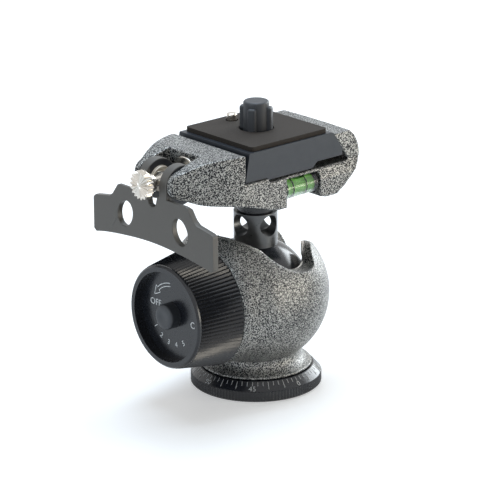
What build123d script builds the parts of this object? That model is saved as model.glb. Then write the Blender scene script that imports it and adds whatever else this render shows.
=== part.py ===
from build123d import *
import math
import os

os.makedirs("parts", exist_ok=True)

# Millimetres, +Z up, origin at the bottom centre of the base on the pan axis.
# The ball lock faces -X, the drop notch faces +X.

# ---- fits ----
part_gap = 0.3          # clear gap between pieces that move against each other
run_gap = 0.05          # radial running fit of shafts in bores
lock_gap = 0.15         # released gap of the ball-lock cup on the ball

# ---- ball and camera axis ----
ball_radius = 23.5
screw_x = 0.6           # camera screw and anti-twist pin, off the pan axis

# ---- base ----
disc_radius = 28.25
disc_edge_height = 4.8
disc_cone_height = 3.5
disc_top_height = disc_edge_height + disc_cone_height
disc_top_radius = 24.8
disc_knurls = 120
disc_knurl_depth = 0.3
disc_chamfer = 0.5
knurl_bottom = 0.6
knurl_land = 0.2        # plain band over the knurls
thread_radius = 4.7625  # 3/8 in
bush_radius = 7.0
bush_length = 12.5
base_screw_radius = 1.5
base_screw_head_radius = 2.7
base_screw_head_height = 1.6
base_screw_recess = 0.4
base_screw_wall = 0.5   # bush to screw head
base_screw_circle = bush_radius + base_screw_wall + base_screw_head_radius
base_screw_tip = 11.5
base_screw_hex = 1.3
base_screw_hex_depth = 0.8
base_screw_count = 3
axle_wall = 1.3         # screws to the outside of the axle neck
axle_neck_radius = base_screw_circle + base_screw_radius + axle_wall
axle_lip = 3.0
axle_head_radius = axle_neck_radius + axle_lip
lip_thickness = 3.1     # housing lip held under the axle head
lip_top = disc_top_height + lip_thickness
washer_thickness = 0.6
axle_head_bottom = lip_top + washer_thickness + run_gap
axle_head_height = 4.55
axle_head_top = axle_head_bottom + axle_head_height
groove_below_top = 1.6
groove_height = axle_head_top - groove_below_top
groove_depth = 1.2

# ---- ball height: the ball runs clear over the axle head ----
ball_floor_gap = 0.7
ball_height = axle_head_top + ball_floor_gap + ball_radius

# ---- housing ----
body_radius = 31.6
housing_bottom = disc_top_height + part_gap
flange_inset = 0.8      # flange inside the flat top of the disc
flange_radius = disc_top_radius - flange_inset
flange_rim = 0.9
waist_wall = 3.1
waist_radius = axle_head_radius + part_gap + waist_wall
waist_rise = 5.0        # waist above the housing's bottom
waist_height = housing_bottom + waist_rise
flare_height = 4.0
flare_width = 0.9
cavity_gap = 1.2        # ball to cavity wall
mouth_overlap = 1.5     # mouth rim over the ball
mouth_radius = ball_radius - mouth_overlap
mouth_shift = -3.0
cut_margin = 5.0        # how far cutting bodies pass the outside

# ---- ball seat ----
seat_inset = 11.6       # seat ring inside the outside of the body
seat_radius = body_radius - seat_inset
seat_fit = 0.1
seat_bore = seat_radius + seat_fit
seat_inner_radius = 15.0
seat_rise = 2.7         # seat floor above the lowest point of the ball
seat_height = 7.0
seat_relief = 1.8       # recess above the seat ring
seat_floor = ball_height - ball_radius + seat_rise
seat_top = seat_floor + seat_height

# ---- ball lock: pad, piston, bush and screw, from the ball outwards ----
pad_reach = 4.0         # pad rim back over the ball
pad_back = 1.3
pad_front_x = pad_reach - ball_radius
pad_back_x = -ball_radius - pad_back
piston_radius = 10.0
piston_thickness = 1.4
piston_front_x = pad_back_x - part_gap
piston_back_x = piston_front_x - piston_thickness
piston_pocket_x = piston_back_x - part_gap
lock_wall = 2.1         # pocket to knob face
knob_face_x = piston_pocket_x - lock_wall
bush_outer_radius = 8.5
bush_reach = 7.1        # lock bush out of the knob face
bush_end_x = knob_face_x - bush_reach
lock_screw_radius = 6.0
lock_nose_radius = 4.5
lock_screw_reach = 8.0
lock_nose_x = bush_end_x - lock_screw_reach

# ---- ball-lock knob ----
knob_rear_x = knob_face_x - part_gap
knob_rear_radius = 26.0
knob_floor_thickness = 2.9
dish_floor_x = lock_nose_x - knob_floor_thickness
rib_depth_x = 2.9       # rib ends in front of the dish floor
knob_rib_end_x = dish_floor_x - rib_depth_x
knob_rim = 1.6
knob_front_x = knob_rib_end_x - knob_rim
knob_rim_chamfer = 0.8
knob_front_radius = 22.3
knob_rib_stand = 0.3
knob_ribs = 90
knob_rib_depth = 0.7
dish_radius = 19.5
knob_ring_inner = 12.0
knob_ring_outer = 21.0
knob_ring_depth = 10.8
cap_radius = 5.5
cap_height = 5.0
cap_dome = 1.2
cap_front_x = dish_floor_x - cap_height
knob_screw_radius = 1.6
knob_screw_head_radius = 3.5
knob_screw_head_height = 2.1
knob_screw_length = 8.9
knob_screw_hex = 1.5
knob_screw_hex_depth = 1.2
knob_screw_head_x = dish_floor_x - knob_screw_head_height
knob_screw_tip_x = dish_floor_x + knob_screw_length

# ---- pan lock ----
pan_boss_radius = 6.0
pan_boss_inset = 2.4    # boss end inside the outside of the body
pan_boss_end = body_radius - pan_boss_inset
pan_screw_radius = 3.0
pan_screw_inset = 3.0   # screw end inside the knob
pan_shoe_radius = 2.9
pan_shoe_length = 2.6   # shoe out of the axle head
pan_shoe_end = axle_head_radius + pan_shoe_length
pan_screw_start = pan_shoe_end + part_gap
pan_knob_radius = 7.5
pan_knob_length = 11.5
pan_knob_start = pan_boss_end + part_gap
pan_knob_end = pan_knob_start + pan_knob_length
pan_knob_flutes = 12
pan_knob_flute_depth = 0.7
pan_knob_chamfer = 1.2

# ---- neck ----
neck_radius = 9.4
neck_clearance = 1.0
notch_radius = neck_radius + neck_clearance
neck_rise = 36.4        # ball centre to neck top
neck_top = ball_height + neck_rise
neck_hole_radius = 4.6
neck_hole_depth = 5.2   # hole axis below the neck top
neck_hole_height = neck_top - neck_hole_depth
stud_radius = 5.0
stud_rise = 11.4        # stud end above the ball centre
stud_gap = 0.2
stud_bottom = ball_height + stud_rise
ball_bore_floor = stud_bottom - stud_gap
neck_cover = 1.0
top_stud_radius = 4.0
collar_radius = 8.0
collar_height = 5.0
collar_top = neck_top + collar_height

# ---- clamp casting, from the collar upwards ----
boss_radius = 11.0
boss_thickness = 3.8
boss_height = 3.0
boss_floor = collar_top + boss_thickness
washer_radius = 7.5
platform_washer_thickness = 1.2
washer_top = boss_floor + platform_washer_thickness
nut_flats = 11.0
nut_height = 5.0
nut_top = washer_top + nut_height
nut_pocket_gap = 0.5
nut_pocket_radius = washer_radius + nut_pocket_gap
stud_over_nut = 0.8
top_stud_end = nut_top + stud_over_nut
casting_bottom = collar_top + 1.8
groove_rise = 14.9
groove_floor = collar_top + groove_rise     # deep part of the plate channel
ledge_rise = 1.6
ledge_height = groove_floor + ledge_rise    # raised strip on the lever side of the channel
pivot_x = -50.0
pivot_rise = 4.0
pivot_z = groove_floor + pivot_rise
arm_tip_shift = 1.5
arm_tip_x = pivot_x - arm_tip_shift
arm_tip_radius = 5.8
cheek_outer = 9.2
slot_half = cheek_outer + part_gap
clamp_depth = 13.9
clamp_top = groove_floor + clamp_depth
block_half = 23.5
block_end_x = -3.0
jaw_inset = 0.5
jaw_half = block_half - jaw_inset
barrel_radius = 3.2
barrel_half = 11.4
shoulder_drop = 4.6
shoulder_height = groove_floor - shoulder_drop
shoulder_slope = 1.6
shoulder_lean = 0.3
shoulder_run = 48.0
jaw_rim_drop = 1.2
recess_end_x = 16.3
recess_wall = 15.5
recess_cover = 1.4
recess_top = groove_floor - recess_cover

# ---- spirit level ----
vial_inset = 4.5
vial_y = vial_inset - block_half
vial_drop = 4.6
vial_z = recess_top - vial_drop
vial_radius = 4.4
vial_bore = 3.4
vial_end_x = 14.6
vial_cap_length = 1.4
bubble_length = 5.0
bubble_depth = 1.5
bubble_half = 1.6

# ---- camera plate ----
plate_half = 22.3
plate_left_x = -22.9    # steep flank, pressed by the jaw
plate_left_foot_x = -25.2
plate_right_x = 24.0    # dovetail flank, under the far jaw
plate_right_foot_x = 29.5
plate_clearance = 0.9   # tongue over the groove floor
tongue_depth = 2.4
plate_foot_height = 5.6
plate_stand = 0.4       # plate top over the clamp
plate_bottom = groove_floor + plate_clearance
plate_left_bottom = ledge_height + part_gap
plate_right_bottom = plate_bottom + tongue_depth
plate_foot_top = plate_bottom + plate_foot_height
plate_top = clamp_top + plate_stand
tongue_left_x = -12.6
tongue_right_x = 12.4
tongue_slope = 2.6
tongue_draft = 0.8
plate_corner = 1.6
flank_gap = 0.38
channel_gap = 0.6
ledge_end_x = tongue_left_x - channel_gap
channel_wall_x = plate_left_foot_x - channel_gap
pad_half = 21.2
pad_thickness = 2.0
pad_corner = 1.5
pad_top = plate_top + pad_thickness
pad_pin_gap = 0.5
screw_radius = 3.175    # 1/4 in
screw_stand = 7.5
screw_tip_chamfer = 0.6
screw_top = plate_top + screw_stand
screw_head_radius = 7.6
screw_head_height = 6.1
screw_slot_width = 1.6
screw_slot_depth = 2.0
clip_thickness = 0.9
clip_gap = 0.4
clip_lip = 0.8
clip_inner = screw_head_radius - clip_lip
clip_opening = 3.0
clip_opening_length = 6.0
clip_bottom = plate_bottom + part_gap
clip_top = clip_bottom + clip_thickness
screw_head_bottom = clip_top + clip_gap
screw_head_top = screw_head_bottom + screw_head_height
screw_pocket_gap = 0.6
screw_pocket_radius = screw_head_radius + screw_pocket_gap
screw_pocket_top = screw_head_top + part_gap
cap_lobe_height = 11.2
cap_body_height = 13.5
cap_base = plate_top + part_gap
cap_lobe_top = cap_base + cap_lobe_height
cap_top = cap_base + cap_body_height
cap_lobe_radius = 7.05
cap_pad_gap = 0.45
pad_hole_radius = cap_lobe_radius + cap_pad_gap
cap_lobe_width = 3.6
cap_lobes = 4
cap_lobe_angle = 30.8
cap_body_radius = 5.5
cap_bore_gap = 0.4
cap_bore_top = screw_top + cap_bore_gap
cap_rounding = 0.9
pin_y = 15.6
pin_radius = 2.25
pin_rounding = 0.8
pin_stand = 5.0
pin_chamber_depth = 4.4
pin_flange_gap = 0.4
pin_flange_height = 1.6
pin_flange_radius = 3.0
pin_chamber_gap = 0.1
plug_height = 2.4
pin_top = plate_top + pin_stand
pin_chamber_top = plate_top - pin_chamber_depth
pin_flange_top = pin_chamber_top - pin_flange_gap
pin_flange_bottom = pin_flange_top - pin_flange_height
plug_top = plate_bottom + plug_height
spring_radius = 2.4
spring_wire = 0.3
spring_turns = 4

# ---- lever, adjuster and pressure jaw, from the pivot ----
cheek_x = pivot_x + 1.4
cheek_drop = 0.9
cheek_z = pivot_z - cheek_drop
cheek_radius = 8.6
cheek_inner = 4.6
cheek_web = 7.4
hub_radius = 5.4
hub_inner = 3.4
lever_back_x = pivot_x - 4.4
lever_thickness = 2.8
lever_front_x = lever_back_x - lever_thickness
lever_drop = 5.5        # lever shoulders below the pivot
lever_top = pivot_z - lever_drop
lever_bevel = 1.4
lever_notch_half = 3.2
adjuster_radius = 2.3
adjuster_reach = 9.4
adjuster_tip_x = pivot_x + adjuster_reach
adjuster_rounding = 1.0
hub_end_x = lever_front_x + 0.6
star_neck_radius = 3.0
star_shoulder_radius = 4.6
star_back_x = hub_end_x - 4.0
star_thickness = 3.6
star_front_x = star_back_x - star_thickness
star_radius = 6.4
star_groove = 0.9
star_rays = 16
cam_washer_radius = 7.5
cam_washer_rounding = 0.5
cam_washer_stand = 0.5
cam_washer_thickness = 1.8
cam_washer_x = cheek_x + cheek_radius + part_gap
slot_end_x = cam_washer_x + cam_washer_stand
cam_washer_seat_x = cam_washer_x + cam_washer_thickness
pocket_wall = 3.7
pocket_back_x = cam_washer_seat_x + pocket_wall
jaw_float = 1.1
jaw_back_x = pocket_back_x + jaw_float
jaw_face_half = 12.0
pocket_half = jaw_face_half + part_gap
pocket_depth = 12.0
jaw_drop = 3.0
jaw_height = 6.9
jaw_bottom = pivot_z - jaw_drop
jaw_top = jaw_bottom + jaw_height
jaw_stem_radius = 2.8
jaw_stem_end_x = adjuster_tip_x + part_gap


def star(outer, inner, teeth):
    """Corner points of a toothed ring outline, one crest and one root a tooth."""
    points = []
    for i in range(2 * teeth):
        radius = outer if i % 2 == 0 else inner
        angle = math.pi * i / teeth
        points.append((radius * math.cos(angle), radius * math.sin(angle)))
    return points


# Side planes: lock_plane looks out of the ball-lock face, its offset is -X.
lock_plane = Plane(origin=(0, 0, ball_height), x_dir=(0, -1, 0), z_dir=(-1, 0, 0))
lock_axis = Axis((0, 0, ball_height), (1, 0, 0))
ball_plane = Plane(origin=(0, 0, ball_height), x_dir=(1, 0, 0), z_dir=(0, -1, 0))
pivot_plane = Plane(origin=(0, 0, pivot_z), x_dir=(0, -1, 0), z_dir=(-1, 0, 0))
pan_lock_plane = Plane(origin=(0, 0, groove_height), x_dir=(-1, 0, 0), z_dir=(0, 1, 0))
pan_lock_axis = Axis((0, 0, groove_height), (0, 1, 0))

# ==================== base ====================

with BuildPart() as base_disc:
    with BuildSketch(Plane.XZ):
        with BuildLine():
            Polyline(
                (bush_radius, 0),
                (disc_radius - disc_knurl_depth - disc_chamfer, 0),
                (disc_radius - disc_knurl_depth, disc_chamfer),
                (disc_radius - disc_knurl_depth, disc_edge_height),
                (disc_top_radius, disc_top_height),
                (bush_radius, disc_top_height),
                close=True,
            )
        make_face()
    revolve(axis=Axis.Z)
    with BuildSketch(Plane.XY.offset(knurl_bottom)):
        with BuildLine():
            Polyline(*star(disc_radius, disc_radius - disc_knurl_depth, disc_knurls), close=True)
        make_face()
        Circle(disc_top_radius, mode=Mode.SUBTRACT)
    extrude(amount=disc_edge_height - knurl_bottom - knurl_land)
    with BuildSketch():
        with PolarLocations(base_screw_circle, base_screw_count):
            Circle(base_screw_head_radius)
    extrude(amount=base_screw_head_height + base_screw_recess, mode=Mode.SUBTRACT)
    with BuildSketch():
        with PolarLocations(base_screw_circle, base_screw_count):
            Circle(base_screw_radius)
    extrude(amount=disc_top_height, mode=Mode.SUBTRACT)

with BuildPart() as thread_bush:
    with BuildSketch():
        Circle(bush_radius)
        Circle(thread_radius, mode=Mode.SUBTRACT)
    extrude(amount=bush_length)
    chamfer(thread_bush.edges().group_by(Axis.Z)[0].sort_by(SortBy.RADIUS)[:1], disc_chamfer)

# Neck and grooved head in one turned piece, dished on top to clear the ball.
with BuildPart() as pan_axle:
    with BuildSketch(Plane.XZ):
        with BuildLine():
            Polyline(
                (0, bush_length),
                (bush_radius, bush_length),
                (bush_radius, disc_top_height),
                (axle_neck_radius, disc_top_height),
                (axle_neck_radius, axle_head_bottom),
                (axle_head_radius, axle_head_bottom),
                (axle_head_radius, groove_height - groove_depth),
                (axle_head_radius - groove_depth, groove_height),
                (axle_head_radius, groove_height + groove_depth),
                (axle_head_radius, axle_head_top),
                (0, axle_head_top),
                close=True,
            )
        make_face()
    revolve(axis=Axis.Z)
    with BuildSketch(Plane.XY.offset(disc_top_height)):
        with PolarLocations(base_screw_circle, base_screw_count):
            Circle(base_screw_radius)
    extrude(amount=base_screw_tip - disc_top_height, mode=Mode.SUBTRACT)

with BuildPart() as base_screws:
    with BuildSketch(Plane.XY.offset(base_screw_recess)):
        with PolarLocations(base_screw_circle, base_screw_count):
            Circle(base_screw_head_radius)
            RegularPolygon(base_screw_hex, 6, major_radius=False, mode=Mode.SUBTRACT)
    extrude(amount=base_screw_head_height)
    with BuildSketch(Plane.XY.offset(base_screw_recess + base_screw_hex_depth)):
        with PolarLocations(base_screw_circle, base_screw_count):
            Circle(base_screw_radius)
    extrude(amount=base_screw_tip - base_screw_recess - base_screw_hex_depth)

# ==================== housing ====================

# Half-ellipse sections of the knob side: X, half width, rise above and drop below the axis.
# All three are given against the round half's radius.
knob_side = (
    (0.0, 0.0, 0.0, 0.0),
    (-2.0, -0.02, 0.06, -0.07),
    (-4.5, -0.1, 0.35, -0.33),
    (-8.0, -0.3, 0.85, -1.0),
    (knob_face_x + 13.9, -0.8, 1.8, -3.7),
    (knob_face_x + 8.9, -2.7, 2.4, -5.7),
    (knob_face_x + 4.9, -4.0, 0.8, -5.8),
    (knob_face_x + 1.9, -4.9, -2.2, -5.9),
    (knob_face_x, -6.1, -5.4, -6.1),
)

cavity_radius = ball_radius + cavity_gap

with BuildPart() as housing:
    # Round half of the bulb.
    with Locations((0, 0, ball_height)):
        Sphere(body_radius)
    split(bisect_by=Plane.YZ)
    # Knob side, drawn out of the bulb to the flat knob face.
    for section_x, side, rise, drop in knob_side:
        with BuildSketch(lock_plane.offset(-section_x)):
            with BuildLine():
                EllipticalCenterArc((0, 0), body_radius + side, body_radius + rise, start_angle=0, arc_size=180)
                EllipticalCenterArc((0, 0), body_radius + side, body_radius + drop, start_angle=180, arc_size=180)
            make_face()
    loft()
    # Flange and waist, turned.
    with BuildSketch(Plane.XZ):
        with BuildLine():
            body_line = Line((0, housing_bottom), (flange_radius, housing_bottom))
            rim_line = Line(body_line @ 1, (flange_radius, housing_bottom + flange_rim))
            flare = Spline(
                rim_line @ 1,
                (waist_radius, waist_height),
                (waist_radius + flare_width, waist_height + flare_height),
                tangents=((-1, 0.35), (0.5, 0.85)),
            )
            Polyline(flare @ 1, (waist_radius + flare_width, seat_floor), (0, seat_floor), body_line @ 0)
        make_face()
    revolve(axis=Axis.Z)
    # Pan-lock boss on the +Y side.
    with BuildSketch(pan_lock_plane.offset(axle_neck_radius)):
        Circle(pan_boss_radius)
    extrude(amount=pan_boss_end - axle_neck_radius)
    # Nothing reaches below the flange.
    with BuildSketch():
        Circle(body_radius + cut_margin)
    extrude(amount=housing_bottom, mode=Mode.SUBTRACT)
    # Ball cavity, mouth, drop notch and the dips beside the neck.
    with BuildSketch(Plane.XZ):
        with BuildLine():
            cavity = ThreePointArc(
                (0, ball_height - cavity_radius), (cavity_radius, ball_height), (0, ball_height + cavity_radius)
            )
            Line(cavity @ 1, cavity @ 0)
        make_face()
    revolve(axis=Axis.Z, mode=Mode.SUBTRACT)
    with BuildSketch(Plane.XY.offset(ball_height)):
        with Locations((mouth_shift, 0)):
            Circle(mouth_radius)
    extrude(amount=body_radius + cut_margin, mode=Mode.SUBTRACT)
    with BuildSketch(Plane.YZ):
        with Locations((0, ball_height)):
            Circle(notch_radius)
            Rectangle(2 * notch_radius, body_radius + cut_margin, align=(Align.CENTER, Align.MIN))
    extrude(amount=body_radius + cut_margin, mode=Mode.SUBTRACT)
    with BuildSketch(ball_plane):
        with BuildLine():
            dip = Spline(
                (-19.5, 32.7),
                (-14.3, 25.9),
                (-10.3, 21.1),
                (-6, 17.9),
                (-1, 15.4),
                (5.3, 14.5),
                (9.6, 15.1),
                tangents=((1, -1.4), (1, 0.3)),
            )
            horn = Spline(dip @ 1, (11.6, 18), (15.5, 21.2), (20.8, 20.2), (26, 16.2), tangents=((1, 0.3), (1, -0.9)))
            Polyline(
                horn @ 1,
                (body_radius + cut_margin, 16.2),
                (body_radius + cut_margin, body_radius + cut_margin),
                (-19.5, body_radius + cut_margin),
                dip @ 0,
            )
        make_face()
    extrude(amount=body_radius + cut_margin, both=True, mode=Mode.SUBTRACT)
    # Seat recess and stepped bore for the axle head and neck.
    with BuildSketch(Plane.XY.offset(seat_floor)):
        Circle(seat_bore)
    extrude(amount=seat_height + seat_relief, mode=Mode.SUBTRACT)
    with BuildSketch(Plane.XY.offset(lip_top)):
        Circle(axle_head_radius + part_gap)
    extrude(amount=seat_floor - lip_top, mode=Mode.SUBTRACT)
    with BuildSketch(Plane.XY.offset(disc_top_height)):
        Circle(axle_neck_radius + run_gap)
    extrude(amount=lip_top - disc_top_height, mode=Mode.SUBTRACT)
    # Bores of the lock piston, the lock bush and the pan-lock shoe and screw.
    with BuildSketch(lock_plane):
        Circle(piston_radius + run_gap)
    extrude(amount=-piston_pocket_x, mode=Mode.SUBTRACT)
    with BuildSketch(lock_plane):
        Circle(bush_outer_radius)
    extrude(amount=-knob_face_x, mode=Mode.SUBTRACT)
    with BuildSketch(pan_lock_plane.offset(axle_neck_radius)):
        Circle(pan_screw_radius)
    extrude(amount=pan_boss_end - axle_neck_radius, mode=Mode.SUBTRACT)

with BuildPart() as pan_washer:
    with BuildSketch(Plane.XY.offset(lip_top)):
        Circle(axle_head_radius - run_gap)
        Circle(axle_neck_radius + part_gap, mode=Mode.SUBTRACT)
    extrude(amount=washer_thickness)

with BuildPart() as lock_bush:
    with BuildSketch(lock_plane.offset(-piston_pocket_x)):
        Circle(bush_outer_radius)
        Circle(lock_screw_radius + run_gap, mode=Mode.SUBTRACT)
    extrude(amount=piston_pocket_x - bush_end_x)

# ==================== ball lock ====================

with BuildPart() as ball_lock_knob:
    with BuildSketch(lock_plane.offset(-knob_rear_x)):
        with BuildLine():
            Polyline(*star(knob_rear_radius, knob_rear_radius - knob_rib_depth, knob_ribs), close=True)
        make_face()
    with BuildSketch(lock_plane.offset(-knob_rib_end_x)):
        with BuildLine():
            Polyline(*star(knob_front_radius + knob_rib_stand, knob_front_radius - knob_rib_depth, knob_ribs), close=True)
        make_face()
    loft(ruled=True)
    with BuildSketch(lock_plane.offset(-knob_rib_end_x)):
        Circle(knob_front_radius)
    extrude(amount=knob_rib_end_x - knob_front_x)
    front_rim = ball_lock_knob.edges().filter_by(GeomType.CIRCLE).sort_by(Axis.X)[0]
    chamfer(front_rim, knob_rim_chamfer)
    with BuildSketch(lock_plane.offset(-dish_floor_x)):
        Circle(dish_radius)
    extrude(amount=dish_floor_x - knob_front_x, mode=Mode.SUBTRACT)
    # Hollow rear with a hub that clears the lock bush.
    with BuildSketch(lock_plane.offset(-knob_rear_x)):
        Circle(knob_ring_outer)
        Circle(knob_ring_inner, mode=Mode.SUBTRACT)
    extrude(amount=knob_ring_depth, mode=Mode.SUBTRACT)
    with BuildSketch(lock_plane.offset(-knob_rear_x)):
        Circle(bush_outer_radius + part_gap)
    extrude(amount=knob_rear_x - bush_end_x + part_gap, mode=Mode.SUBTRACT)
    with BuildSketch(lock_plane.offset(-knob_rear_x)):
        Circle(lock_screw_radius)
    extrude(amount=knob_rear_x - lock_nose_x, mode=Mode.SUBTRACT)
    with BuildSketch(lock_plane.offset(-lock_nose_x)):
        Circle(lock_nose_radius)
    extrude(amount=lock_nose_x - dish_floor_x, mode=Mode.SUBTRACT)

with BuildPart() as lock_screw:
    with BuildSketch(lock_plane.offset(-piston_pocket_x)):
        Circle(lock_screw_radius)
    extrude(amount=piston_pocket_x - lock_nose_x)
    with BuildSketch(lock_plane.offset(-lock_nose_x)):
        Circle(lock_nose_radius)
    extrude(amount=lock_nose_x - dish_floor_x)
    with BuildSketch(lock_plane.offset(-knob_screw_tip_x)):
        Circle(knob_screw_radius)
    extrude(amount=knob_screw_tip_x - dish_floor_x, mode=Mode.SUBTRACT)

with BuildPart() as knob_screw:
    with BuildSketch(lock_plane.offset(-knob_screw_tip_x)):
        Circle(knob_screw_radius)
    extrude(amount=knob_screw_tip_x - dish_floor_x)
    with BuildSketch(lock_plane.offset(-dish_floor_x)):
        Circle(knob_screw_head_radius)
    extrude(amount=dish_floor_x - knob_screw_head_x)
    with BuildSketch(lock_plane.offset(-knob_screw_head_x)):
        RegularPolygon(knob_screw_hex, 6, major_radius=False)
    extrude(amount=-knob_screw_hex_depth, mode=Mode.SUBTRACT)

with BuildPart() as knob_cap:
    with BuildSketch(Plane.XZ):
        with BuildLine():
            Line((dish_floor_x, ball_height), (dish_floor_x, ball_height + cap_radius))
            Line((dish_floor_x, ball_height + cap_radius), (cap_front_x + cap_dome, ball_height + cap_radius))
            dome = Spline(
                (cap_front_x + cap_dome, ball_height + cap_radius),
                (cap_front_x, ball_height),
                tangents=((-1, 0), (0, -1)),
            )
            Line(dome @ 1, (dish_floor_x, ball_height))
        make_face()
    revolve(axis=lock_axis)
    with BuildSketch(lock_plane.offset(-dish_floor_x)):
        Circle(knob_screw_head_radius + run_gap)
    extrude(amount=dish_floor_x - knob_screw_head_x + part_gap, mode=Mode.SUBTRACT)

with BuildPart() as lock_piston:
    with BuildSketch(lock_plane.offset(-piston_front_x)):
        Circle(piston_radius)
    extrude(amount=piston_front_x - piston_back_x)

# Cup pad between piston and ball; it turns with the ball.
with BuildPart() as piston_pad:
    with BuildSketch(lock_plane.offset(-pad_front_x)):
        Circle(piston_radius)
    extrude(amount=pad_front_x - pad_back_x)
    with Locations((0, 0, ball_height)):
        Sphere(ball_radius + lock_gap, mode=Mode.SUBTRACT)

# ==================== pan lock ====================

with BuildPart() as pan_lock_screw:
    with BuildSketch(pan_lock_plane.offset(pan_screw_start)):
        Circle(pan_screw_radius - run_gap)
    extrude(amount=pan_knob_end - pan_screw_inset - pan_screw_start)

with BuildPart() as pan_lock_knob:
    with BuildSketch(pan_lock_plane.offset(pan_knob_start)):
        with BuildLine():
            Polyline(*star(pan_knob_radius, pan_knob_radius - pan_knob_flute_depth, pan_knob_flutes), close=True)
        make_face()
    extrude(amount=pan_knob_length - pan_knob_chamfer)
    with BuildSketch(pan_lock_plane.offset(pan_knob_end - pan_knob_chamfer)):
        Circle(pan_knob_radius - pan_knob_flute_depth - 0.1)
    extrude(amount=pan_knob_chamfer, taper=30)
    with BuildSketch(pan_lock_plane.offset(pan_knob_start)):
        Circle(pan_screw_radius - run_gap)
    extrude(amount=pan_knob_end - pan_screw_inset - pan_knob_start, mode=Mode.SUBTRACT)

with BuildPart() as pan_shoe:
    with BuildSketch(Plane.YZ):
        with BuildLine():
            Polyline(
                (pan_shoe_end, groove_height),
                (pan_shoe_end, groove_height + pan_shoe_radius),
                (axle_head_radius + 0.9, groove_height + pan_shoe_radius),
                (axle_head_radius + 0.5, groove_height + 1.2),
                (axle_head_radius - 0.5, groove_height + 0.3),
                (axle_head_radius - 0.5, groove_height),
                close=True,
            )
        make_face()
    revolve(axis=pan_lock_axis)

# ==================== ball and seat ====================

with BuildPart() as ball_seat:
    with BuildSketch(Plane.XY.offset(seat_floor)):
        Circle(seat_radius)
        Circle(seat_inner_radius, mode=Mode.SUBTRACT)
    extrude(amount=seat_top - seat_floor)
    with Locations((0, 0, ball_height)):
        Sphere(ball_radius + run_gap, mode=Mode.SUBTRACT)

with BuildPart() as ball:
    with Locations((0, 0, ball_height)):
        Sphere(ball_radius)
    with BuildSketch(Plane.XY.offset(ball_bore_floor)):
        Circle(stud_radius + run_gap)
    extrude(amount=ball_radius, mode=Mode.SUBTRACT)

# ==================== neck ====================

with BuildPart() as neck:
    with BuildSketch(Plane.XY.offset(ball_height)):
        Circle(neck_radius)
    extrude(amount=neck_top - ball_height)
    with Locations((0, 0, ball_height)):
        Sphere(ball_radius + run_gap, mode=Mode.SUBTRACT)
    with BuildSketch(Plane.XY.offset(stud_bottom)):
        Circle(stud_radius)
    extrude(amount=neck_top - stud_bottom - neck_cover)
    with BuildSketch(Plane.XY.offset(neck_top)):
        Circle(top_stud_radius)
    extrude(amount=top_stud_end - neck_top)
    for side_plane in (Plane.XZ, Plane.YZ):
        with BuildSketch(side_plane):
            with Locations((0, neck_hole_height)):
                Circle(neck_hole_radius)
        extrude(amount=neck_radius, both=True, mode=Mode.SUBTRACT)

with BuildPart() as neck_collar:
    with BuildSketch(Plane.XY.offset(neck_top)):
        Circle(collar_radius)
        Circle(top_stud_radius, mode=Mode.SUBTRACT)
    extrude(amount=collar_top - neck_top)

with BuildPart() as platform_washer:
    with BuildSketch(Plane.XY.offset(boss_floor)):
        Circle(washer_radius)
        Circle(top_stud_radius, mode=Mode.SUBTRACT)
    extrude(amount=washer_top - boss_floor)

with BuildPart() as platform_nut:
    with BuildSketch(Plane.XY.offset(washer_top)):
        RegularPolygon(nut_flats / 2, 6, major_radius=False)
        Circle(top_stud_radius, mode=Mode.SUBTRACT)
    extrude(amount=nut_top - washer_top)

# ==================== clamp casting ====================

# Far-jaw outline: X at the sides, extra X at the middle, height over the groove floor.
far_jaw = (
    (recess_end_x, 0.0, -12.3),
    (20.0, 0.2, -13.3),
    (25.8, 0.6, -13.3),
    (30.0, 1.0, -10.8),
    (33.7, 1.3, -7.6),
    (37.1, 1.5, -4.3),
    (39.2, 1.6, -1.3),
    (40.3, 1.6, 1.9),
    (39.6, 1.5, 6.4),
    (37.7, 1.2, 10.2),
    (35.2, 0.8, clamp_depth - jaw_rim_drop),
)

# Dovetail flanks: slopes in X per unit of height.
right_lean = (plate_right_foot_x - plate_right_x) / (plate_top - plate_foot_top)
left_lean = (plate_left_x - plate_left_foot_x) / (plate_top - plate_left_bottom)
channel_right_x = plate_right_foot_x + flank_gap
jaw_face_x = plate_left_foot_x - flank_gap

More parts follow.
